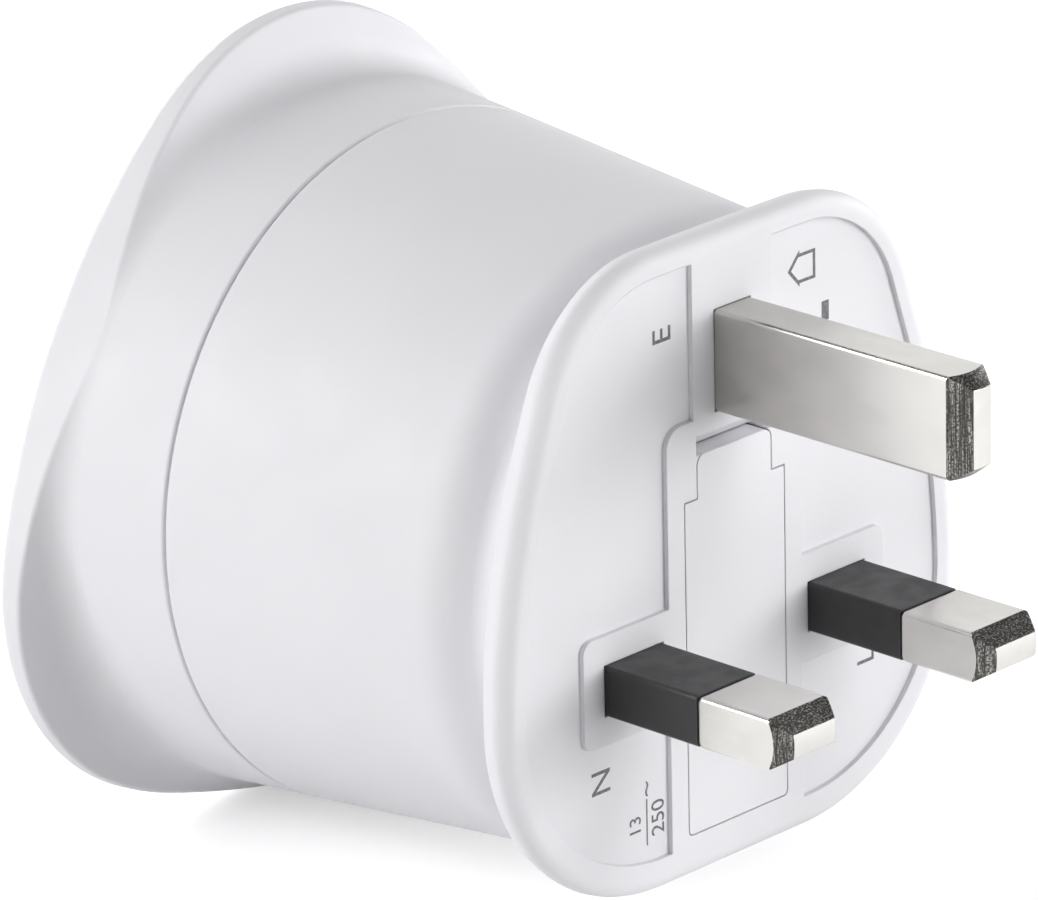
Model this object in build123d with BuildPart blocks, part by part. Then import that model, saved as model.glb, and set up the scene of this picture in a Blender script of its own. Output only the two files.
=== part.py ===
from build123d import *
import os
from math import atan2, cos, degrees, hypot, radians, sin, sqrt

# Travel adapter: a fused three-pin plug in front and an earthed round-pin socket behind.
# Millimetres. X runs right when facing the pins, Y runs from the plug face into the body,
# Z runs up to the earth pin. The origin is on the body's axis, in the plug face.

# Body outline
body_length = 46.2
parting_depth = 32.4
parting_gap = 0.2
parting_groove = 0.4
neck_radius = 24.3
parting_radius = 27.15
wall = 2.0
plug_floor = 3.0

# Plug plate, half outline from top to bottom
plate_top = 26.0
plate_bottom = -24.6
plate_top_half = 17.3
plate_knee_half = 24.75
plate_knee_height = 3.6
plate_bottom_half = 26.0
plate_top_radius = 12.6
plate_knee_radius = 60.0
plate_bottom_radius = 17.2
plate_thickness = 2.75
plate_edge_thickness = 1.05
plate_draft = 15
plate_front_round = 1.2

# Groove behind the plug plate
groove_depth = 1.5
groove_wall = 1.0
groove_seat = 1.3
groove_length = 4.4
groove_round = 2.5
shoulder_round = 6.0
collar_radius = 0.5

# Raised pattern on the plug face
field_depth = 0.4
rim_width = 2.6
rim_rise = 0.4
earth_pad_half = 4.35
earth_pad_bottom = 11.7
column_half = 7.3
column_round = 1.6
live_pad_half = 16.5
live_pad_height = 8.6
live_pad_round = 1.0

# Three-lobed rim at the socket end
rim_flat_radius = 28.4
rim_lobe_radius = 33.1
lobe_arc_radius = 20.1
rim_relief = 0.05
rim_lip = 1.65
lip_rake = 1.45
lip_round = 0.4
scoop_radius = 3.2
rim_edge_round = 0.6
parting_round = 0.12
parting_shoulder = 0.3

# Plug pins
pin_pitch = 22.23
pin_line_height = -6.5
live_pin_width = 6.35
live_pin_height = 3.97
live_pin_reach = 17.7
earth_pin_width = 3.97
earth_pin_height = 7.92
earth_pin_reach = 24.1
sleeve_length = 9.1
sleeve_wall = 0.6
tip_bevel = 1.05
tip_bevel_length = 1.8
tip_dome_radius = 5.0
tip_side_bevel = 0.95
tip_side_bevel_length = 1.2
pin_edge_round = 0.3
pin_heel_round = 0.5
pin_fit = 0.03
boss_wall = 1.4
tenon_width = 3.0
tenon_height = 1.8
tenon_head = 0.4

# Fuse and its carrier
fuse_length = 25.4
fuse_cap_radius = 3.175
fuse_cap_length = 6.0
fuse_tube_radius = 2.95
fuse_cap_end = 0.5
fuse_cap_fit = 0.02
carrier_top = 8.9
pry_ramp = 1.4
pry_depth = 1.8
carrier_bottom = -20.75
carrier_half = 5.4
carrier_neck_half = 4.0
carrier_shoulder = 5.5
carrier_plate = 2.0
carrier_gap = 0.1
carrier_corner = 0.8
carrier_foot_corner = 0.4
fuse_seat_gap = 0.3
jaw_fit = 0.12
jaw_wall = 1.3
jaw_length = 11.0
jaw_wrap = 2.0
pocket_wall = 1.2

# Sheet metal inside
strip = 0.7
clip_strip = 0.5
clip_fit = 0.1
clip_width = 3.6
clip_mouth = 2.1
bend = 0.8
link_width = 6.0
link_lap = 3.2
contact_clear = 0.5
contact_grip = 2.6
contact_flare = 1.0
contact_throat = 2.2
strap_width = 6.0
strap_gap = 0.3
strap_bulge = 2.2
strap_tip_setback = 3.2
strap_bulge_setback = 7.5
earth_link_drop = 4.1
earth_link_lap = 5.0

# Socket
recess_radius = 19.5
recess_depth = 17.5
recess_floor = 2.4
cup_wall = 1.8
socket_pitch = 19.0
socket_hole = 5.5
guide_rib_width = 4.6
guide_rib_height = 2.5
guide_rib_setback = 1.0
mouth_wall = 1.9
spigot_wall = 1.4
spigot_length = 4.4
spigot_fit = 0.08
rear_wall = 2.4

# Contact carrier and shutter
disc_thickness = 2.0
disc_fit = 0.7
rib_count = 4
rib_start = 45
rib_thickness = 1.6
rib_reach = 3.0
rib_bite = 0.7
shutter_side = 0.75
shutter_thickness = 2.8
shutter_float = 0.2
shutter_headroom = 0.3
shutter_border = 1.25
shutter_travel = 5.8
shutter_edge = 3.2
shutter_fit = 0.15
shutter_ramp = 2.2
rail_width = 1.2
rail_headroom = 0.7
spring_length = 8.7
spring_radius = 1.2
spring_wire = 0.35
spring_turns = 5
spring_wire_sides = 6

# Places worked out from the sizes above
INWARD = (0, 1, 0)
live_x = pin_pitch / 2
core_width = live_pin_width - 2 * sleeve_wall
core_height = live_pin_height - 2 * sleeve_wall
body_slope = (parting_radius - neck_radius) / (parting_depth - plate_thickness)
groove_radius = neck_radius - groove_depth
groove_end = plate_thickness + groove_length
plate_reach = hypot(plate_bottom_half, plate_bottom)
skin_radius = rim_flat_radius - rim_relief
rim_slope = (skin_radius - parting_radius) / (body_length - parting_depth)
front_end = parting_depth - parting_gap / 2
rear_start = parting_depth + parting_gap / 2
earth_pin_z = pin_line_height + pin_pitch
contact_x = socket_pitch / 2
contact_width = 2 * (contact_x - carrier_half - carrier_gap - pocket_wall - contact_clear)
shutter_half = contact_x + socket_hole / 2 + shutter_side
recess_bottom = body_length - recess_depth
floor_front = recess_bottom - recess_floor
shutter_face = floor_front - shutter_headroom
shutter_base = shutter_face - shutter_thickness
disc_top = shutter_base - shutter_float
disc_depth = disc_top - disc_thickness
cup_radius = recess_radius + cup_wall
spigot_radius = parting_radius - mouth_wall
fuse_depth = carrier_plate + fuse_seat_gap + fuse_cap_radius
fuse_centre = (carrier_shoulder + carrier_bottom) / 2
clip_base = fuse_depth + fuse_cap_radius + fuse_seat_gap
boss_depth = clip_base - strip
cap_offset = (fuse_length - fuse_cap_length) / 2
clip_places = (fuse_centre + cap_offset, fuse_centre - cap_offset)
neutral_post_z = clip_places[0]
strap_height = recess_radius - strap_gap - strip
reach = 2 * rim_lobe_radius

os.makedirs("parts", exist_ok=True)


def write(piece, name):
    """Name a finished piece and write it out."""
    piece.part.label = name
    export_step(piece.part, f"parts/{name}.step")


def at_depth(depth):
    """Sketch plane behind the plug face, seen from the pins: sketch x is X, sketch y is Z."""
    return Plane.XZ.offset(-depth)


def front_radius(depth):
    """Outer radius of the front body at a depth."""
    return neck_radius + body_slope * (depth - plate_thickness)


def rear_radius(depth):
    """Outer radius of the rear body at a depth, where the rim has no lobe."""
    return parting_radius + rim_slope * (depth - parting_depth)


def polar(radius, angle):
    """Point at a radius and an angle in degrees."""
    return (radius * cos(radians(angle)), radius * sin(radians(angle)))


def plate_outline(inset=0, rise=0):
    """Outline of the plug plate in the plug face, drawn in from its edge by an inset and raised."""
    with BuildSketch(at_depth(0).shift_origin((0, 0, rise))) as outline:
        with BuildLine():
            half = FilletPolyline(
                (0, plate_top),
                (plate_top_half, plate_top),
                (plate_knee_half, plate_knee_height),
                (plate_bottom_half, plate_bottom),
                (0, plate_bottom),
                radius=[plate_top_radius, plate_knee_radius, plate_bottom_radius],
            )
            mirror(half, about=Plane.YZ)
        make_face()
        if inset:
            offset(amount=-inset, kind=Kind.INTERSECTION)
    return outline.sketch


def lobed_outline():
    """Rounded triangle of three lobe arcs joined by tangent side arcs, one lobe up."""
    lobe_offset = rim_lobe_radius - lobe_arc_radius
    spare = rim_flat_radius - lobe_arc_radius
    side_offset = (lobe_offset**2 - spare**2) / (2 * spare - lobe_offset)
    side_radius = rim_flat_radius + side_offset
    centre_x = lobe_offset + side_offset * cos(radians(60))
    centre_y = side_offset * sin(radians(60))
    scale = side_radius / hypot(centre_x, centre_y)
    tangent_x = centre_x * scale - side_offset * cos(radians(60))
    tangent_y = centre_y * scale - side_offset * sin(radians(60))
    tangent_radius = hypot(tangent_x, tangent_y)
    tangent_angle = degrees(atan2(tangent_y, tangent_x))
    with BuildSketch(at_depth(body_length)) as outline:
        with BuildLine():
            for lobe in (90, 210, 330):
                start = polar(tangent_radius, lobe - tangent_angle)
                end = polar(tangent_radius, lobe + tangent_angle)
                following = polar(tangent_radius, lobe + 120 - tangent_angle)
                ThreePointArc(start, polar(rim_lobe_radius, lobe), end)
                ThreePointArc(end, polar(rim_flat_radius, lobe + 60), following)
        make_face()
    return outline.sketch


def carrier_outline(grow, top, depth=0):
    """Bottle outline of the fuse carrier, grown by a gap all round, with its top at a height."""
    with BuildSketch(at_depth(depth)) as outline:
        with BuildLine():
            half = Polyline(
                (0, top),
                (carrier_neck_half + grow, top),
                (carrier_neck_half + grow, carrier_shoulder + grow),
                (carrier_half + grow, carrier_shoulder + grow),
                (carrier_half + grow, carrier_bottom - grow),
                (0, carrier_bottom - grow),
            )
            mirror(half, about=Plane.YZ)
        make_face()
        fillet(outline.vertices().group_by(Axis.Y)[0], carrier_foot_corner + grow)
        fillet(outline.vertices().group_by(Axis.Y)[-1], carrier_corner + grow)
    return outline.sketch


def bent_strip(plane, points, thickness):
    """Section of a bent sheet-metal strip that follows a centre line."""
    with BuildSketch(plane) as section:
        with BuildLine():
            FilletPolyline(*points, radius=bend)
        trace(line_width=thickness)
    return section.sketch


disc_radius = front_radius(disc_depth) - wall - disc_fit

# Plug plate: drafted sides, rounded front edge, and a rear face that thins it towards its corners
with BuildPart() as plug_plate:
    with BuildSketch(Plane.XY):
        with BuildLine():
            Polyline(
                (0, 0),
                (plate_reach, 0),
                (plate_reach, plate_edge_thickness),
                (groove_radius, plate_thickness),
                (0, plate_thickness),
                close=True,
            )
        make_face()
    revolve(axis=Axis.Y)
    extrude(
        plate_outline(), amount=plate_thickness, dir=INWARD, taper=plate_draft, mode=Mode.INTERSECT
    )
    fillet(edges().group_by(Axis.Y)[0], plate_front_round)

# Recessed fields of the plug face, all but the rim, the pin pads and the fuse column
with BuildSketch(at_depth(0)) as fields:
    add(plate_outline(rim_width, rim_rise))
    with Locations((0, earth_pad_bottom)):
        Rectangle(
            2 * earth_pad_half, reach, align=(Align.CENTER, Align.MIN), mode=Mode.SUBTRACT
        )
    with Locations((0, earth_pad_bottom)):
        RectangleRounded(
            2 * column_half, reach, column_round, align=(Align.CENTER, Align.MAX), mode=Mode.SUBTRACT
        )
    with Locations((0, pin_line_height)):
        RectangleRounded(2 * live_pad_half, live_pad_height, live_pad_round, mode=Mode.SUBTRACT)

# Front housing: plug plate, grip groove and tapered body, hollow, with pin bosses and the fuse pocket
groove_foot = (groove_radius, plate_thickness + groove_seat)
shoulder = (front_radius(groove_end), groove_end)
with BuildPart() as front_housing:
    with BuildSketch(Plane.XY):
        with BuildLine():
            Polyline(
                (0, plate_thickness / 2),
                (groove_radius, plate_thickness / 2),
                groove_foot,
                shoulder,
                (front_radius(front_end), front_end),
                (0, front_end),
                close=True,
            )
        make_face()
        fillet(vertices().sort_by_distance(groove_foot)[0], groove_round)
        fillet(vertices().sort_by_distance(shoulder)[0], shoulder_round)
    revolve(axis=Axis.Y)
    add(plug_plate.part)
    collar = edges().filter_by(GeomType.CIRCLE).filter_by_position(Axis.Y, plate_thickness, plate_thickness)
    fillet(collar, collar_radius)
    with BuildSketch(Plane.XY):
        with BuildLine():
            Polyline(
                (0, plug_floor),
                (groove_radius - groove_wall, plug_floor),
                (front_radius(groove_end) - wall, groove_end),
                (front_radius(front_end) - wall, front_end),
                (0, front_end),
                close=True,
            )
        make_face()
    revolve(axis=Axis.Y, mode=Mode.SUBTRACT)
    with BuildSketch(at_depth(rear_start - spigot_length)):
        Circle(spigot_radius + spigot_fit)
    extrude(amount=spigot_length, dir=INWARD, mode=Mode.SUBTRACT)
    # Bosses behind the pins, posts under the contacts and walls round the fuse pocket
    with BuildSketch(at_depth(plug_floor)):
        with Locations((-live_x, pin_line_height), (live_x, pin_line_height)):
            Rectangle(live_pin_width + 2 * boss_wall, live_pin_height + 2 * boss_wall)
        with Locations((0, earth_pin_z)):
            Rectangle(earth_pin_width + 2 * boss_wall, earth_pin_height + 2 * boss_wall)
        with Locations((-contact_x, neutral_post_z)):
            Rectangle(contact_width, clip_width)
    extrude(amount=boss_depth - plug_floor, dir=INWARD)
    with BuildSketch(at_depth(plug_floor)):
        with Locations((contact_x, clip_places[0])):
            Rectangle(contact_width, clip_width)
    extrude(amount=clip_base - plug_floor, dir=INWARD)
    pocket_top = carrier_top + carrier_gap
    pocket_back = clip_base + clip_strip
    extrude(
        carrier_outline(carrier_gap + pocket_wall, pocket_top + pocket_wall, plug_floor),
        amount=pocket_back + pocket_wall - plug_floor,
        dir=INWARD,
    )
    extrude(carrier_outline(carrier_gap, pocket_top), amount=pocket_back, dir=INWARD, mode=Mode.SUBTRACT)
    # Ramp above the cover, down to its top edge, where a screwdriver lifts it
    with BuildSketch(Plane.YZ):
        with BuildLine():
            Polyline(
                (0, carrier_top),
                (0, pocket_top + pry_ramp),
                (pry_depth, pocket_top),
                (pry_depth, carrier_top),
                close=True,
            )
        make_face()
    extrude(amount=carrier_neck_half + carrier_gap, both=True, mode=Mode.SUBTRACT)
    # Slots that let the tails of the fuse clips out of the pocket
    with BuildSketch(at_depth(clip_base)):
        for z in clip_places:
            with Locations((carrier_half, z)):
                Rectangle(
                    2 * pocket_wall,
                    clip_width + 2 * carrier_gap,
                    align=(Align.MIN, Align.CENTER),
                )
    extrude(amount=clip_strip, dir=INWARD, mode=Mode.SUBTRACT)
    # Pin holes: the full pin section in the plate, the slimmer core through the boss
    with BuildSketch(at_depth(0)):
        with Locations((-live_x, pin_line_height), (live_x, pin_line_height)):
            Rectangle(live_pin_width + 2 * pin_fit, live_pin_height + 2 * pin_fit)
    extrude(amount=plug_floor, dir=INWARD, mode=Mode.SUBTRACT)
    with BuildSketch(at_depth(plug_floor)):
        with Locations((-live_x, pin_line_height), (live_x, pin_line_height)):
            Rectangle(core_width + 2 * pin_fit, core_height + 2 * pin_fit)
    extrude(amount=boss_depth - plug_floor, dir=INWARD, mode=Mode.SUBTRACT)
    with BuildSketch(at_depth(0)):
        with Locations((0, earth_pin_z)):
            Rectangle(earth_pin_width + 2 * pin_fit, earth_pin_height + 2 * pin_fit)
    extrude(amount=boss_depth, dir=INWARD, mode=Mode.SUBTRACT)
    # Ribs that carry the contact disc
    for turn in range(rib_count):
        with BuildSketch(Plane.XY.rotated((0, rib_start + turn * 360 / rib_count, 0))):
            with BuildLine():
                Polyline(
                    (groove_radius - groove_wall + rib_bite, plug_floor),
                    (front_radius(disc_depth) - wall + rib_bite, disc_depth),
                    (disc_radius - rib_reach, disc_depth),
                    (disc_radius - rib_reach, plug_floor),
                    close=True,
                )
            make_face()
        extrude(amount=rib_thickness / 2, both=True)
    extrude(fields.sketch, amount=field_depth, dir=INWARD, mode=Mode.SUBTRACT)
    fillet(edges().group_by(Axis.Y)[-1].sort_by(SortBy.RADIUS)[-1], parting_round)
write(front_housing, "front_housing")

# Rear housing: tapered skin, three-lobed rim, socket cup and the spigot into the front housing
with BuildPart() as rear_housing:
    lip_front = body_length - rim_lip
    foot_depth = lip_front - lip_rake
    foot = (rear_radius(foot_depth), foot_depth)
    rear_edge = (rear_radius(rear_start), rear_start)
    groove_floor = parting_radius - parting_groove
    with BuildSketch(Plane.XY):
        with BuildLine():
            Polyline(
                (0, floor_front),
                (recess_radius, floor_front),
                (recess_radius, disc_top),
                (cup_radius, disc_top),
                (cup_radius, body_length - rear_wall),
                (rear_radius(body_length) - wall, body_length - rear_wall),
                (spigot_radius - spigot_wall, rear_start),
                (spigot_radius - spigot_wall, rear_start - spigot_length),
                (spigot_radius, rear_start - spigot_length),
                (spigot_radius, front_end),
                (groove_floor, front_end),
                (groove_floor, rear_start),
                rear_edge,
                foot,
                (rim_lobe_radius, lip_front),
                (reach, lip_front),
                (reach, body_length),
                (recess_radius, body_length),
                (recess_radius, recess_bottom),
                (0, recess_bottom),
                close=True,
            )
        make_face()
        fillet(vertices().sort_by_distance(foot)[0], scoop_radius)
        groove_step = parting_groove - parting_gap / 2
        fillet(vertices().sort_by_distance(rear_edge)[0], min(parting_shoulder, groove_step))
    revolve(axis=Axis.Y)
    draft = degrees(atan2(rim_slope, 1))
    extrude(lobed_outline(), amount=body_length - disc_top, taper=draft, mode=Mode.INTERSECT)
    crease = edges(Select.LAST).filter_by_position(Axis.Y, foot_depth - scoop_radius, lip_front)
    fillet(crease, lip_round)
    # Guide ribs on both sides of the recess, in line with the holes
    with BuildSketch(at_depth(recess_bottom)):
        Circle(recess_radius + cup_wall / 2)
        Circle(recess_radius - guide_rib_height, mode=Mode.SUBTRACT)
        Rectangle(2 * reach, guide_rib_width, mode=Mode.INTERSECT)
    extrude(amount=recess_depth - guide_rib_setback, dir=INWARD)
    # Two round holes and two slots for the earth clips through the floor
    with BuildSketch(at_depth(floor_front)):
        with GridLocations(socket_pitch, 0, 2, 1):
            Circle(socket_hole / 2)
        with GridLocations(0, 2 * strap_height, 1, 2):
            Rectangle(strap_width + 2 * strap_gap, strip + 2 * strap_gap)
    extrude(amount=recess_floor, dir=INWARD, mode=Mode.SUBTRACT)
    fillet(edges().group_by(Axis.Y)[-1], rim_edge_round)
write(rear_housing, "rear_housing")


def blade_side(x, z, wide, reach, back, thickness, heel=0):
    """Side outline of a pin: flat bevels on its wide faces, a domed end and rounded heels."""
    half = thickness / 2
    flat = half - tip_bevel
    end = tip_dome_radius - sqrt(tip_dome_radius**2 - flat**2) - reach
    shoulder = tip_bevel_length - reach
    with BuildSketch(Plane((x, 0, z), x_dir=INWARD, z_dir=wide.direction)) as outline:
        with BuildLine():
            Polyline(
                (end, flat), (shoulder, half), (back, half), (back, -half), (shoulder, -half), (end, -flat)
            )
            ThreePointArc((end, -flat), (-reach, 0), (end, flat))
        make_face()
        if heel:
            fillet(outline.vertices().group_by(Axis.X)[-1], heel)
    return outline.sketch


def bevel_blade(pin, wide):
    """Bevel the domed end of a pin round its narrow faces, then round its long edges."""
    for side in (0, -1):
        narrow = pin.faces().filter_by(wide).sort_by(wide)[side]
        dome = narrow.edges().filter_by(GeomType.CIRCLE).sort_by(Axis.Y)[0]
        chamfer(dome, tip_side_bevel_length, tip_side_bevel, reference=narrow)
    fillet(pin.edges().filter_by(Axis.Y), pin_edge_round)


def live_pin(x):
    """Line or neutral pin: full section at the tip, a slimmer core, and a tenon to rivet."""
    side = blade_side(
        x, pin_line_height, Axis.X, live_pin_reach, -sleeve_length, live_pin_height, pin_heel_round
    )
    with BuildPart() as pin:
        extrude(side, amount=live_pin_width / 2, both=True)
        bevel_blade(pin, Axis.X)
        with BuildSketch(at_depth(-sleeve_length)):
            with Locations((x, pin_line_height)):
                Rectangle(core_width, core_height)
        extrude(amount=sleeve_length + boss_depth, dir=INWARD)
        with BuildSketch(at_depth(boss_depth)):
            with Locations((x, pin_line_height)):
                Rectangle(tenon_width, tenon_height)
        extrude(amount=strip + tenon_head, dir=INWARD)
    return pin


def pin_sleeve(x):
    """Insulating sleeve round the core of a live pin."""
    with BuildPart() as sleeve:
        with BuildSketch(at_depth(-sleeve_length)):
            with Locations((x, pin_line_height)):
                RectangleRounded(live_pin_width, live_pin_height, pin_edge_round)
                Rectangle(core_width, core_height, mode=Mode.SUBTRACT)
        extrude(amount=sleeve_length + plug_floor, dir=INWARD)
    return sleeve


# Plug pins and sleeves
for name, x in (("neutral", -live_x), ("line", live_x)):
    write(live_pin(x), f"{name}_pin")
    write(pin_sleeve(x), f"{name}_sleeve")
earth_side = blade_side(0, earth_pin_z, Axis.Z, earth_pin_reach, boss_depth, earth_pin_width)
with BuildPart() as earth_pin:
    extrude(earth_side, amount=earth_pin_height / 2, both=True)
    bevel_blade(earth_pin, Axis.Z)
    with BuildSketch(at_depth(boss_depth)):
        with Locations((0, earth_pin_z)):
            Rectangle(tenon_height, tenon_width)
    extrude(amount=strip + tenon_head, dir=INWARD)
write(earth_pin, "earth_pin")

# Fuse carrier: bottle-shaped cover with two jaws that grip the fuse
with BuildPart() as fuse_carrier:
    extrude(carrier_outline(0, carrier_top), amount=carrier_plate, dir=INWARD)
    with BuildSketch(Plane.XY.offset(fuse_centre - jaw_length / 2)):
        with Locations((0, carrier_plate)):
            Rectangle(
                2 * (fuse_tube_radius + jaw_fit + jaw_wall),
                fuse_depth + jaw_wrap - carrier_plate,
                align=(Align.CENTER, Align.MIN),
            )
        with Locations((0, fuse_depth)):
            Circle(fuse_tube_radius + jaw_fit, mode=Mode.SUBTRACT)
    extrude(amount=jaw_length)
write(fuse_carrier, "fuse_carrier")

# Cartridge fuse: ceramic tube with a metal cap on each end
with BuildPart() as fuse_tube:
    with BuildSketch(Plane.XY.offset(fuse_centre - fuse_length / 2 + fuse_cap_end)):
        with Locations((0, fuse_depth)):
            Circle(fuse_tube_radius)
    extrude(amount=fuse_length - 2 * fuse_cap_end)
write(fuse_tube, "fuse_tube")


def fuse_cap(end, direction):
    """Cap on one end of the fuse, open towards its middle."""
    with BuildPart() as cap:
        with BuildSketch(Plane.XY.offset(end)):
            with Locations((0, fuse_depth)):
                Circle(fuse_cap_radius)
        extrude(amount=fuse_cap_length, dir=(0, 0, direction))
        with BuildSketch(Plane.XY.offset(end + direction * fuse_cap_end)):
            with Locations((0, fuse_depth)):
                Circle(fuse_tube_radius + fuse_cap_fit)
        extrude(amount=fuse_cap_length, dir=(0, 0, direction), mode=Mode.SUBTRACT)
    return cap


write(fuse_cap(fuse_centre + fuse_length / 2, -1), "fuse_cap_upper")
write(fuse_cap(fuse_centre - fuse_length / 2, 1), "fuse_cap_lower")


def fuse_clip(z, tail_end):
    """Spring clip behind a fuse cap, with a tail that leaves the pocket sideways."""
    arm_x = fuse_cap_radius + clip_fit + clip_strip / 2
    base_y = clip_base + clip_strip / 2
    mouth_y = fuse_depth - clip_mouth
    points = [(-arm_x, mouth_y), (-arm_x, base_y), (arm_x, base_y), (arm_x, mouth_y)]
    section = bent_strip(Plane.XY.offset(z - clip_width / 2), points, clip_strip)
    with BuildPart() as clip:
        extrude(section, amount=clip_width)
        with BuildSketch(at_depth(clip_base)):
            with Locations((0, z)):
                Rectangle(tail_end, clip_width, align=(Align.MIN, Align.CENTER))
        extrude(amount=clip_strip, dir=INWARD)
    return clip


write(fuse_clip(clip_places[0], contact_x + contact_width / 2), "fuse_clip_upper")
write(fuse_clip(clip_places[1], live_x), "fuse_clip_lower")


def live_link(x, end):
    """Flat link riveted to a live pin, reaching along Z to an end."""
    low = min(pin_line_height - link_lap, end)
    high = max(pin_line_height + link_lap, end)
    middle = (x + contact_x * x / abs(x)) / 2
    with BuildPart() as link:
        with BuildSketch(at_depth(boss_depth)):
            with Locations((middle, (low + high) / 2)):
                SlotOverall(high - low, link_width, rotation=90)
            with Locations((x, pin_line_height)):
                Rectangle(tenon_width + 2 * pin_fit, tenon_height + 2 * pin_fit, mode=Mode.SUBTRACT)
        extrude(amount=strip, dir=INWARD)
    return link


write(live_link(live_x, clip_places[1] - clip_width / 2), "line_link")
write(live_link(-live_x, neutral_post_z + clip_width / 2), "neutral_link")


def socket_contact(x, base):
    """Forked contact that grips a round pin, standing on its base at a depth."""
    mouth_y = disc_depth - strap_gap
    base_y = base + strip / 2
    arm = contact_grip + strip / 2
    side = [(mouth_y, arm + contact_flare), (mouth_y - contact_throat, arm), (base_y, arm)]
    points = side + [(y, -z) for y, z in reversed(side)]
    with BuildPart() as contact:
        extrude(bent_strip(Plane.YZ.offset(x), points, strip), amount=contact_width / 2, both=True)
    return contact


write(socket_contact(contact_x, clip_base + clip_strip), "line_contact")
write(socket_contact(-contact_x, clip_base), "neutral_contact")

# Earth strap: one strip with a sprung clip at the top and the bottom of the recess
strap_base = disc_depth - strip / 2
strap_side = [
    (body_length - strap_tip_setback, strap_height - strip),
    (body_length - strap_bulge_setback, strap_height - strap_bulge),
    (recess_bottom, strap_height),
    (strap_base, strap_height),
]
strap_points = strap_side + [(y, -z) for y, z in reversed(strap_side)]
with BuildPart() as earth_strap:
    extrude(bent_strip(Plane.YZ, strap_points, strip), amount=strap_width / 2, both=True)
write(earth_strap, "earth_strap")

# Earth link: riveted to the earth pin, bent back to meet the strap
link_y = boss_depth + strip / 2
leg_z = earth_pin_z - earth_link_drop
earth_link_points = [
    (link_y, earth_pin_z + link_lap),
    (link_y, leg_z),
    (strap_base - strip, leg_z),
    (strap_base - strip, leg_z - earth_link_lap),
]
with BuildPart() as earth_link:
    extrude(bent_strip(Plane.YZ, earth_link_points, strip), amount=strap_width / 2, both=True)
    with BuildSketch(at_depth(boss_depth)):
        with Locations((0, earth_pin_z)):
            Rectangle(tenon_height + 2 * pin_fit, tenon_width + 2 * pin_fit)
    extrude(amount=strip, dir=INWARD, mode=Mode.SUBTRACT)
write(earth_link, "earth_link")

# Contact disc: closes the contact chamber and carries the shutter's rails
shutter_low = -(shutter_travel + socket_hole / 2 + shutter_border)
rail_x = shutter_half + shutter_fit + rail_width / 2
post_z = shutter_edge + spring_length
stop_z = shutter_low - shutter_fit
with BuildPart() as contact_disc:
    with BuildSketch(at_depth(disc_depth)):
        Circle(disc_radius)
        with GridLocations(socket_pitch, 0, 2, 1):
            Circle(socket_hole / 2, mode=Mode.SUBTRACT)
        with GridLocations(0, 2 * strap_height, 1, 2):
            Rectangle(strap_width + 2 * strap_gap, 2 * (bend + strap_gap), mode=Mode.SUBTRACT)
    extrude(amount=disc_thickness, dir=INWARD)
    with BuildSketch(at_depth(disc_top)):
        for x in (-rail_x, rail_x):
            with Locations((x, stop_z - rail_width)):
                Rectangle(rail_width, post_z - stop_z + rail_width, align=(Align.CENTER, Align.MIN))
        with Locations((0, stop_z)):
            Rectangle(2 * rail_x, rail_width, align=(Align.CENTER, Align.MAX))
        with Locations((0, post_z)):
            Rectangle(4 * spring_radius, rail_width, align=(Align.CENTER, Align.MIN))
    extrude(amount=floor_front - rail_headroom - disc_top, dir=INWARD)
write(contact_disc, "contact_disc")

# Shutter: two ramps block the holes until both pins push it up against its spring
with BuildPart() as shutter:
    with BuildSketch(at_depth(shutter_base)):
        with Locations((0, shutter_low)):
            Rectangle(2 * shutter_half, shutter_edge - shutter_low, align=(Align.CENTER, Align.MIN))
        with Locations((-contact_x, -shutter_travel), (contact_x, -shutter_travel)):
            Circle(socket_hole / 2, mode=Mode.SUBTRACT)
    extrude(amount=shutter_thickness, dir=INWARD)
    for x in (-contact_x, contact_x):
        with BuildSketch(Plane.YZ.offset(x)):
            with BuildLine():
                Polyline(
                    (shutter_face, -socket_hole / 2),
                    (shutter_face - shutter_ramp, -socket_hole / 2),
                    (shutter_face, socket_hole / 2),
                    close=True,
                )
            make_face()
        extrude(amount=socket_hole / 2, both=True, mode=Mode.SUBTRACT)
write(shutter, "shutter")

# Shutter spring, between the shutter's upper edge and the post on the disc
coil_run = spring_length - spring_wire
coil_start = (0, shutter_base + shutter_thickness / 2, shutter_edge + spring_wire / 2)
with BuildPart() as shutter_spring:
    with BuildLine() as coil:
        Helix(coil_run / spring_turns, coil_run, spring_radius, center=coil_start)
    with BuildSketch(Plane(coil.line @ 0, z_dir=coil.line % 0)):
        RegularPolygon(spring_wire / 2, spring_wire_sides)
    sweep(path=coil.line, is_frenet=True)
write(shutter_spring, "shutter_spring")
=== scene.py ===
from math import cos, pi, radians, sin

import bmesh
import bpy
from mathutils import Matrix, Quaternion, Vector


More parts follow.
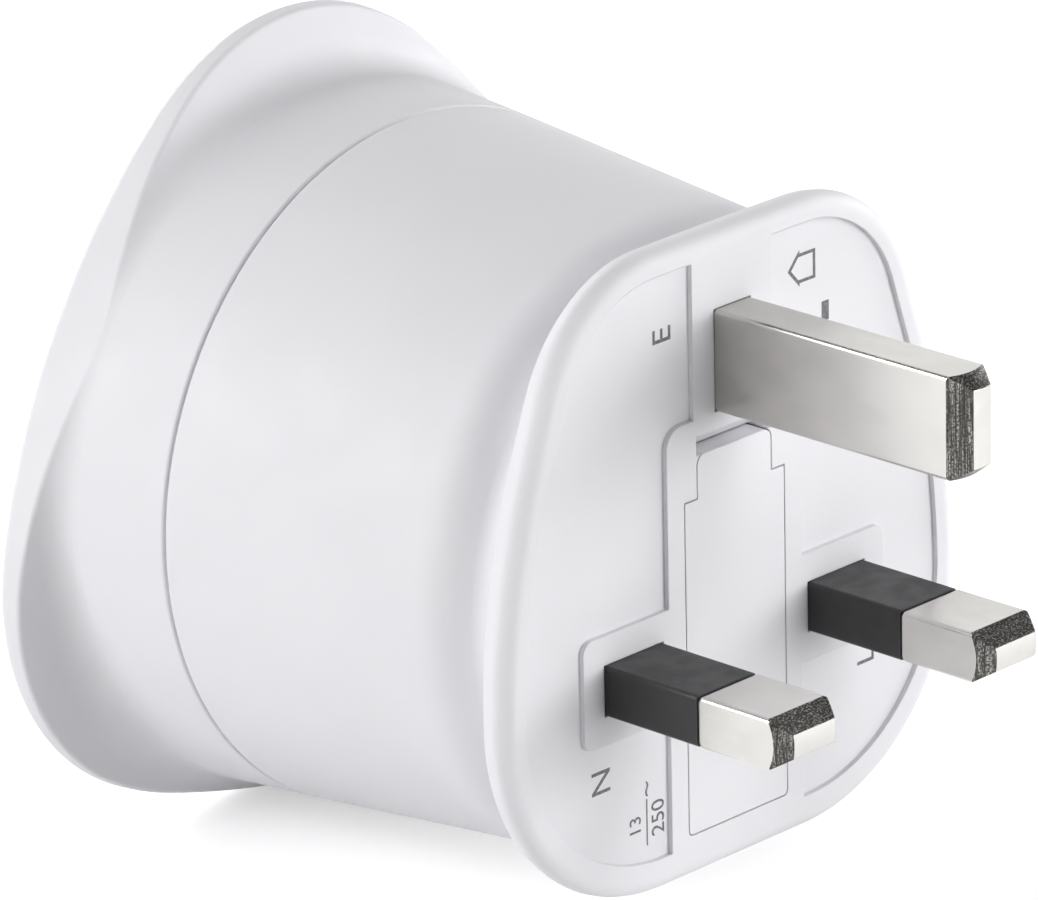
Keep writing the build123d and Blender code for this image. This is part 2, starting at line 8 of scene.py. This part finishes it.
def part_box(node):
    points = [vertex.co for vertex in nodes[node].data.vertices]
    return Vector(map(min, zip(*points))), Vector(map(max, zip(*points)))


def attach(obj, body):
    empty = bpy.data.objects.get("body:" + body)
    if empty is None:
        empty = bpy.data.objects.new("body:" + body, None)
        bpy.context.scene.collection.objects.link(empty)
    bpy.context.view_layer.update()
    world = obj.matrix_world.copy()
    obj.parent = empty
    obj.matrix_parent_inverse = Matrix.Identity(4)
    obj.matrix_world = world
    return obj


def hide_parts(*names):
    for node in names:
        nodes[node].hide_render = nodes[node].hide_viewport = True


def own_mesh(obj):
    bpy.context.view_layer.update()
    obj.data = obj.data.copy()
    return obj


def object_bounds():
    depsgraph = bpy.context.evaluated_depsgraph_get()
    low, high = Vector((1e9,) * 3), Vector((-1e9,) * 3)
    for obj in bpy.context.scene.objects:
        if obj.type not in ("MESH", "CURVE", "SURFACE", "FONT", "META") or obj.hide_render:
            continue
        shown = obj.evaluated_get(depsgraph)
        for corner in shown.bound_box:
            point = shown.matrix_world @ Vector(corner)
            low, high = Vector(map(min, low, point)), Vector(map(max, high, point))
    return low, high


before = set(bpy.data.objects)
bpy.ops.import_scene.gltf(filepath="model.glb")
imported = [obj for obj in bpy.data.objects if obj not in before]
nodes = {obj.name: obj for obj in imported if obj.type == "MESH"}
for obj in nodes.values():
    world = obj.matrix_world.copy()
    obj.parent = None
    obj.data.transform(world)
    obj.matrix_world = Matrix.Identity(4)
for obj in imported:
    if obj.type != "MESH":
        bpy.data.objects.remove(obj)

# Travel adapter: looks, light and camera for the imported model. Metres; the frame's X runs right when
# facing the pins, Y runs from the plug face into the body, Z runs up to the earth pin.

MM = 0.001
cad_low, cad_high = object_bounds()

# Camera, at the photograph's viewing angle
image_width = 1038
focal_pixels = 8881
sensor_width = 36.0
camera_place = Vector((-450.794, -412.366, 235.151)) * MM
camera_view = Vector((0.675228, 0.650475, -0.347777))
camera_roll = radians(1.261)

# Studio: a white backdrop behind the object, and a darker room on the camera's side
backdrop_side = Vector((camera_view.x, camera_view.y, 0)).normalized()
backdrop_start = 0.5
backdrop_end = 0.85
backdrop_glow = 0.40
backdrop_shown = 1.0
room_glow = 0.06

# Floor: it keeps the shadow near the object, and turns white between two distances from it
floor_size = 1.6
floor_glow = 0.45
floor_near = 0.15
floor_far = 0.5

# Softboxes: azimuth from in front of the pins and elevation in degrees, side in metres, power in watts
lamp_distance = 0.7
softboxes = {
    "softbox_left": (-118, 24, 0.4, 3.5),
    "softbox_left_front": (-82, 3, 0.3, 0.45),
    "softbox_front_right": (22, 5, 0.4, 3.1),
    "softbox_front_high": (15, 40, 0.3, 1.1),
    "softbox_right": (75, 15, 0.3, 2.0),
    "softbox_back": (175, 30, 0.4, 1.8),
}

# Finishes: the range that holds most of a noise, and the cosines of a normal's turn at a worn edge
noise_low = 0.3
noise_high = 0.7
wear_start = 0.998
wear_full = 0.93
# Pins: length from the face over which their painted root shade fades to the tip's colour
pin_root_shade_reach = 20 * MM

# Printed marks, on the recessed fields of the face
plug_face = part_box("front_housing")[0].y
field_depth = 0.4 * MM
ink_depth = 0.02 * MM

# Shutter spring: steps round each turn, and sides of its wire
coil_steps = 36
wire_sides = 12


class Tree:
    """A node tree being made, with short ways to add and join nodes."""

    def __init__(self, tree):
        self.tree = tree

    def feed(self, node, inputs):
        """Join each input, by its name or index, to a socket, or set it to a value."""
        for key, value in inputs.items():
            if isinstance(value, bpy.types.NodeSocket):
                self.tree.links.new(value, node.inputs[key])
            else:
                node.inputs[key].default_value = value

    def add(self, kind, inputs, **settings):
        """Add a node of a kind, with its settings and inputs."""
        node = self.tree.nodes.new("ShaderNode" + kind)
        for name, value in settings.items():
            setattr(node, name, value)
        self.feed(node, inputs)
        return node

    def place(self, scale=(1, 1, 1)):
        """Point of the surface in the frame, stretched along the axes."""
        point = self.add("TexCoord", {}).outputs["Object"]
        return self.add("Mapping", {"Vector": point, "Scale": scale}).outputs["Vector"]

    def noise(self, vector, scale, detail=3.0, roughness=0.5):
        """Noise from 0 to 1 with a number of waves to the metre."""
        inputs = {"Vector": vector, "Scale": scale, "Detail": detail, "Roughness": roughness}
        return self.add("TexNoise", inputs).outputs["Fac"]

    def ramp(self, value, start, end, low=0.0, high=1.0):
        """Value taken smoothly from one range to another."""
        inputs = {"Value": value, "From Min": start, "From Max": end, "To Min": low, "To Max": high}
        return self.add("MapRange", inputs, interpolation_type="SMOOTHSTEP").outputs["Result"]

    def spread(self, noise, low=0.0, high=1.0):
        """Noise taken from the range that holds most of it to another."""
        return self.ramp(noise, noise_low, noise_high, low, high)

    def math(self, operation, first, second):
        """Sum, product or other pair operation."""
        return self.add("Math", {0: first, 1: second}, operation=operation).outputs["Value"]

    def dot(self, first, second):
        """Dot product of two vectors."""
        return self.add("VectorMath", {0: first, 1: second}, operation="DOT_PRODUCT").outputs["Value"]

    # A mix node's sockets share their names, so the next two methods give them by index

    def blend(self, factor, first, second):
        """Number between two numbers."""
        return self.add("Mix", {0: factor, 2: first, 3: second}).outputs[0]

    def tint(self, factor, first, second):
        """Colour between two colours, each a socket or red, green and blue."""
        first, second = (
            color if isinstance(color, bpy.types.NodeSocket) else (*color, 1) for color in (first, second)
        )
        return self.add("Mix", {0: factor, 6: first, 7: second}, data_type="RGBA").outputs[2]

    def seen(self):
        """1 for what the camera sees, straight or in metal and glass."""
        path = self.add("LightPath", {}).outputs
        straight = self.math("MAXIMUM", path["Is Camera Ray"], path["Is Glossy Ray"])
        return self.math("MAXIMUM", straight, path["Is Transmission Ray"])


class Finish(Tree):
    """A node material being made: its tree and its main shader."""

    def __init__(self, name, constants):
        self.material = bpy.data.materials.new(name)
        self.material.use_nodes = True
        super().__init__(self.material.node_tree)
        self.shader = self.tree.nodes["Principled BSDF"]
        self.feed(self.shader, constants)

    def rounded(self, radius):
        """Normal with the edges rounded to a radius."""
        return self.add("Bevel", {"Radius": radius}, samples=4).outputs["Normal"]

    def worn_edge(self, radius):
        """1 along the edges and 0 away from them."""
        flat = self.add("NewGeometry", {}).outputs["Normal"]
        return self.ramp(self.dot(self.rounded(radius), flat), wear_start, wear_full)

    def bump(self, height, depth, normal=None):
        """Normal from a height of 0 to 1 with a depth in metres."""
        inputs = {"Height": height, "Distance": depth, "Strength": 1.0}
        if normal is not None:
            inputs["Normal"] = normal
        return self.add("Bump", inputs).outputs["Normal"]

    def finish(self, **inputs):
        """Join the made colours, roughness and normal to the shader."""
        names = {"color": "Base Color", "roughness": "Roughness", "normal": "Normal"}
        self.feed(self.shader, {names[key]: value for key, value in inputs.items()})
        return self.material


def moulded_plastic(name, light, dark, gloss, rough, edge):
    """Satin moulded plastic: faint clouding, a fine spark-eroded grain and softened edges."""
    look = Finish(name, {"IOR": 1.5})
    point = look.place()
    cloud = look.spread(look.noise(point, 90, detail=2.0))
    grain = look.noise(point, 3200, detail=2.0)
    return look.finish(
        color=look.tint(cloud, dark, light),
        roughness=look.spread(look.noise(point, 260, detail=4.0), gloss, rough),
        normal=look.bump(grain, 0.004 * MM, look.rounded(edge)),
    )


def sleeve_plastic():
    """Black sleeve: satin, with a fine grain and edges rubbed a little lighter."""
    look = Finish("sleeve_black", {"IOR": 1.5})
    point = look.place()
    rub = look.math("MULTIPLY", look.worn_edge(0.25 * MM), look.noise(point, 1500))
    cloud = look.tint(look.noise(point, 350), (0.010, 0.010, 0.011), (0.017, 0.017, 0.018))
    grain = look.noise(point, 4200, detail=2.0)
    return look.finish(
        color=look.tint(rub, cloud, (0.09, 0.09, 0.09)),
        roughness=look.spread(look.noise(point, 600, detail=4.0), 0.36, 0.48),
        normal=look.bump(grain, 0.006 * MM, look.rounded(0.2 * MM)),
    )


def pin_nickel():
    """Nickel-plated pin: satin faces with painted shade that darkens them towards the root, and dark
    ground bevels round it.
    """
    look = Finish("pin_nickel", {"Metallic": 1.0})
    lines = look.noise(look.place((1, 0.02, 1)), 7000, detail=2.0)
    cloud = look.noise(look.place((1, 0.5, 1)), 380)
    cuts = look.noise(look.place((0.02, 1, 0.02)), 15000, roughness=0.7)
    pits = look.noise(look.place(), 9000, roughness=0.6)
    chips = look.noise(look.place(), 6500, roughness=0.65)
    # Bevels face partly forward; the end faces forward, and the long faces don't
    normal = look.add("SeparateXYZ", {"Vector": look.add("TexCoord", {}).outputs["Normal"]}).outputs
    ahead = look.math("MULTIPLY", normal["Y"], -1.0)
    past_sides = look.ramp(ahead, 0.3, 0.42)
    short_of_end = look.ramp(ahead, 0.9, 0.8)
    ground = look.math("MULTIPLY", past_sides, short_of_end)
    # Painted shade and reflection: the colour darkens from the tip towards the root at the face, in place
    # of the shaded face seen in the pin
    reach = look.add("SeparateXYZ", {"Vector": look.place()}).outputs["Y"]
    painted_root_shade_fade = look.ramp(reach, 0, -pin_root_shade_reach)
    root_shade_and_tone = look.math("ADD", painted_root_shade_fade, look.spread(cloud, -0.12, 0.12))
    plating_with_root_shade = look.tint(root_shade_and_tone, (0.50, 0.485, 0.46), (0.73, 0.715, 0.69))
    # Chipped cuts on the side bevels, and a chipped grain on the upper and lower ones
    upright = look.ramp(look.math("MULTIPLY", normal["Z"], normal["Z"]), 0.15, 0.4)
    grain = look.ramp(chips, 0.47, 0.69, 0.06, 1.0)
    cut = look.math("MULTIPLY", look.ramp(cuts, 0.42, 0.66), look.ramp(chips, 0.4, 0.62, 0.05, 1.0))
    scored = look.tint(look.blend(upright, cut, grain), (0.062, 0.058, 0.053), (0.60, 0.59, 0.57))
    # Satin and drawing lines all over, and deeper cuts in the ground bevels
    satin = look.bump(pits, 0.003 * MM, look.rounded(0.12 * MM))
    drawn = look.bump(lines, 0.0004 * MM, satin)
    depth = look.math("MULTIPLY", cuts, ground)
    return look.finish(
        color=look.tint(ground, plating_with_root_shade, scored),
        roughness=look.blend(ground, look.spread(pits, 0.18, 0.27), look.spread(cuts, 0.3, 0.45)),
        normal=look.bump(depth, 0.008 * MM, drawn),
    )


def bare_metal(name, light, dark, gloss, rough, stretch):
    """Stamped or drawn metal strip: faint rolling lines and a tarnish that clouds the colour."""
    look = Finish(name, {"Metallic": 1.0})
    cloud = look.spread(look.noise(look.place(), 240, detail=2.0))
    lines = look.noise(look.place(stretch), 4200, detail=2.0)
    return look.finish(
        color=look.tint(cloud, dark, light),
        roughness=look.spread(lines, gloss, rough),
        normal=look.bump(lines, 0.0003 * MM, look.rounded(0.12 * MM)),
    )


def fuse_ceramic():
    """Unglazed ceramic with a fine speckle."""
    look = Finish("fuse_ceramic", {"IOR": 1.5})
    point = look.place()
    speck = look.ramp(look.noise(point, 2600, detail=4.0), 0.35, 0.75)
    return look.finish(
        color=look.tint(speck, (0.80, 0.77, 0.70), (0.86, 0.84, 0.78)),
        roughness=look.spread(look.noise(point, 700), 0.55, 0.75),
        normal=look.bump(look.noise(point, 3600), 0.01 * MM),
    )


def print_ink():
    """Grey pad print, a little thin in places."""
    look = Finish("print_grey", {"IOR": 1.45})
    point = look.place()
    thin = look.ramp(look.noise(point, 3000, detail=4.0), 0.35, 0.8)
    return look.finish(
        color=look.tint(thin, (0.12, 0.12, 0.125), (0.24, 0.24, 0.25)),
        roughness=look.spread(look.noise(point, 900), 0.45, 0.6),
    )


def dress(material, names):
    """Give a material to carried-over nodes."""
    for name in names:
        mesh = nodes[name].data
        mesh.materials.clear()
        mesh.materials.append(material)


def add_object(name, data):
    """New object in the scene, with its data."""
    thing = bpy.data.objects.new(name, data)
    bpy.context.scene.collection.objects.link(thing)
    return thing


def settled(made, name):
    """Mesh from a bmesh that is done."""
    mesh = bpy.data.meshes.new(name)
    made.to_mesh(mesh)
    made.free()
    return mesh


# Finishes of the carried-over nodes
dress(
    moulded_plastic(
        "white_housing", light=(0.80, 0.795, 0.825), dark=(0.785, 0.78, 0.81),
        gloss=0.50, rough=0.62, edge=0.18 * MM,
    ),
    ["front_housing", "rear_housing", "fuse_carrier"],
)
dress(
    moulded_plastic(
        "inner_plastic", light=(0.74, 0.74, 0.72), dark=(0.70, 0.70, 0.68),
        gloss=0.40, rough=0.55, edge=0.15 * MM,
    ),
    ["contact_disc", "shutter"],
)
dress(pin_nickel(), ["earth_pin", "line_pin", "neutral_pin"])
dress(sleeve_plastic(), ["line_sleeve", "neutral_sleeve"])
dress(
    bare_metal(
        "contact_brass", light=(0.80, 0.62, 0.33), dark=(0.72, 0.55, 0.28),
        gloss=0.22, rough=0.30, stretch=(1, 0.05, 1),
    ),
    [
        "line_link", "neutral_link", "line_contact", "neutral_contact",
        "earth_link", "earth_strap", "fuse_clip_upper", "fuse_clip_lower",
    ],
)
dress(fuse_ceramic(), ["fuse_tube"])
dress(
    bare_metal(
        "fuse_cap_metal", light=(0.74, 0.72, 0.68), dark=(0.64, 0.62, 0.58),
        gloss=0.2, rough=0.36, stretch=(1, 1, 0.05),
    ),
    ["fuse_cap_upper", "fuse_cap_lower"],
)
dress(
    bare_metal(
        "spring_steel", light=(0.60, 0.60, 0.61), dark=(0.48, 0.48, 0.49),
        gloss=0.22, rough=0.36, stretch=(1, 1, 0.3),
    ),
    ["shutter_spring"],
)


def on_field(x, z):
    """Place and turn on the recessed fields of the face, for marks that read upwards."""
    turn = Matrix(((0, -1, 0), (0, 0, -1), (1, 0, 0))).to_4x4()
    return Matrix.Translation(Vector((x * MM, plug_face + field_depth, z * MM))) @ turn


def printed(curve, x, z):
    """Stand a flat filled curve on the field as a printed mark."""
    curve.dimensions = "2D"
    curve.fill_mode = "BOTH"
    curve.extrude = ink_depth / 2
    curve.materials.append(ink)
    mark = add_object(curve.name, curve)
    mark.matrix_world = on_field(x, z) @ Matrix.Translation((0, 0, ink_depth / 2))
    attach(mark, "body")
    return mark


def printed_text(name, text, height, x, z):
    """Letters or digits of a height in millimetres, centred on a point of the face."""
    curve = bpy.data.curves.new(name, "FONT")
    curve.body = text
    curve.align_x = "CENTER"
    curve.align_y = "CENTER"
    mark = printed(curve, x, z)
    bpy.context.view_layer.update()
    curve.size = height * MM / mark.dimensions.y


def printed_shape(name, loops, x, z):
    """Filled outline of loops of points in millimetres, along the reading direction and up it."""
    curve = bpy.data.curves.new(name, "CURVE")
    for loop in loops:
        spline = curve.splines.new("POLY")
        spline.points.add(len(loop) - 1)
        spline.use_cyclic_u = True
        for point, (along, up) in zip(spline.points, loop):
            point.co = (along * MM, up * MM, 0, 1)
    printed(curve, x, z)


def rectangle(width, height):
    """Loop round a rectangle about its centre."""
    return [(s * width / 2, t * height / 2) for s, t in ((-1, -1), (1, -1), (1, 1), (-1, 1))]


# Terminal letters, rating and plain marks on the face
ink = print_ink()
printed_text("letter_earth", "E", height=1.9, x=-7.1, z=19.0)
printed_text("letter_neutral", "N", height=1.95, x=-14.35, z=-13.7)
printed_text("letter_line", "L", height=1.85, x=14.9, z=-12.65)
printed_text("rating_upper", "13", height=1.2, x=-10.8, z=-18.4)
printed_text("rating_lower", "250", height=1.35, x=-8.35, z=-18.35)
printed_text("rating_wave", "~", height=0.35, x=-9.65, z=-15.75)
printed_shape("rating_line", [rectangle(3.7, 0.12)], x=-9.6, z=-18.4)
printed_shape("mark_bar", [rectangle(1.54, 0.78)], x=10.6, z=16.15)
house = [(-1.42, 0.22), (0, 1.5), (1.42, 0.22), (1.15, 0.22), (1.15, -1.52), (-1.15, -1.52), (-1.15, 0.22)]
house_inside = [(-0.9, 0.35), (0, 1.15), (0.9, 0.35), (0.9, -1.27), (-0.9, -1.27)]
printed_shape("mark_house", [house, house_inside], x=8.02, z=20.17)


def coil_spring(name, node, wire, turns, closed_turns):
    """Round-wire compression spring with closed ends, in the place of a coarse coil."""
    low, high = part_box(node)
    centre = (low + high) / 2
    radius = (high.x - low.x - wire) / 2
    made = bmesh.new()
    rings = []
    for step in range(turns * coil_steps + 1):
        turn = step / coil_steps
        active = min(max((turn - closed_turns) / (turns - 2 * closed_turns), 0), 1)
        closed = min(turn, closed_turns) + max(turn - turns + closed_turns, 0)
        lift = wire / 2 + closed * wire + active * (high.z - low.z - wire - 2 * closed_turns * wire)
        angle = 2 * pi * turn
        out = Vector((cos(angle), sin(angle), 0))
        heart = Vector((centre.x, centre.y, low.z + lift)) + out * radius
        ring = []
        for side in range(wire_sides):
            a = 2 * pi * side / wire_sides
            ring.append(made.verts.new(heart + (out * cos(a) + Vector((0, 0, sin(a)))) * wire / 2))
        rings.append(ring)
    for ring, following in zip(rings, rings[1:]):
        for side in range(wire_sides):
            after = (side + 1) % wire_sides
            made.faces.new((ring[side], ring[after], following[after], following[side]))
    made.faces.new(rings[0])
    made.faces.new(reversed(rings[-1]))
    bmesh.ops.recalc_face_normals(made, faces=made.faces)
    mesh = settled(made, name)
    mesh.shade_smooth()
    mesh.materials.append(nodes[node].data.materials[0])
    return add_object(name, mesh)


# Shutter spring, squeezed against its post as the shutter slides up
spring = coil_spring("shutter_coil", "shutter_spring", wire=0.35 * MM, turns=7, closed_turns=1)
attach(spring, "body")
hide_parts("shutter_spring")
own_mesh(spring)


def add_camera():
    """Camera at the photograph's place, turned about its view by its roll."""
    data = bpy.data.cameras.new("camera")
    data.sensor_width = sensor_width
    data.lens = focal_pixels * sensor_width / image_width
    data.clip_start = 0.01
    data.clip_end = 100
    camera = add_object("camera", data)
    level = camera_view.to_track_quat("-Z", "Y")
    turn = Quaternion(camera_view, camera_roll) @ level
    camera.matrix_world = Matrix.Translation(camera_place) @ turn.to_matrix().to_4x4()
    bpy.context.scene.camera = camera


def add_softbox(name, azimuth, elevation, size, watts):
    """Large square lamp that looks at the object from an angle."""
    data = bpy.data.lights.new(name, "AREA")
    data.size = size
    data.energy = watts
    lamp = add_object(name, data)
    a, e = radians(azimuth), radians(elevation)
    away = Vector((sin(a) * cos(e), -cos(a) * cos(e), sin(e)))
    centre = (cad_low + cad_high) / 2
    turn = (-away).to_track_quat("-Z", "Y").to_matrix().to_4x4()
    lamp.matrix_world = Matrix.Translation(centre + away * lamp_distance) @ turn


def add_world():
    """White to the camera; in metal and glass, a white backdrop that fades into a darker room."""
    world = bpy.data.worlds.new("studio")
    world.use_nodes = True
    bpy.context.scene.world = world
    look = Tree(world.node_tree)
    behind = look.dot(look.add("TexCoord", {}).outputs["Generated"], backdrop_side)
    shown = look.ramp(behind, backdrop_start, backdrop_end, room_glow, backdrop_shown)
    cast = look.ramp(behind, backdrop_start, backdrop_end, room_glow, backdrop_glow)
    lit = look.blend(look.seen(), cast, shown)
    straight = look.add("LightPath", {}).outputs["Is Camera Ray"]
    strength = look.blend(straight, lit, backdrop_shown)
    look.feed(world.node_tree.nodes["Background"], {"Color": (1, 1, 1, 1), "Strength": strength})


def add_floor():
    """White floor that keeps the object's shadow and reads as white to the camera and in metal."""
    made = bmesh.new()
    bmesh.ops.create_grid(made, x_segments=1, y_segments=1, size=floor_size / 2)
    floor = add_object("floor", settled(made, "floor"))
    floor.location.z = cad_low.z
    look = Finish("floor_white", {"Roughness": 0.9, "Specular IOR Level": 0.0})
    cloud = look.spread(look.noise(look.place(), 3))
    away = look.add("VectorMath", {0: look.place()}, operation="LENGTH").outputs["Value"]
    glow = look.ramp(away, floor_near, floor_far, floor_glow, backdrop_shown)
    look.feed(look.shader, {
        "Base Color": look.tint(cloud, (0.85, 0.85, 0.85), (0.87, 0.87, 0.87)),
        "Emission Color": (1, 1, 1, 1),
        "Emission Strength": look.math("MULTIPLY", look.seen(), glow),
    })
    floor.data.materials.append(look.material)


add_camera()
add_world()
add_floor()
for softbox_name, softbox in softboxes.items():
    add_softbox(softbox_name, *softbox)
bpy.context.scene.view_settings.view_transform = "Standard"
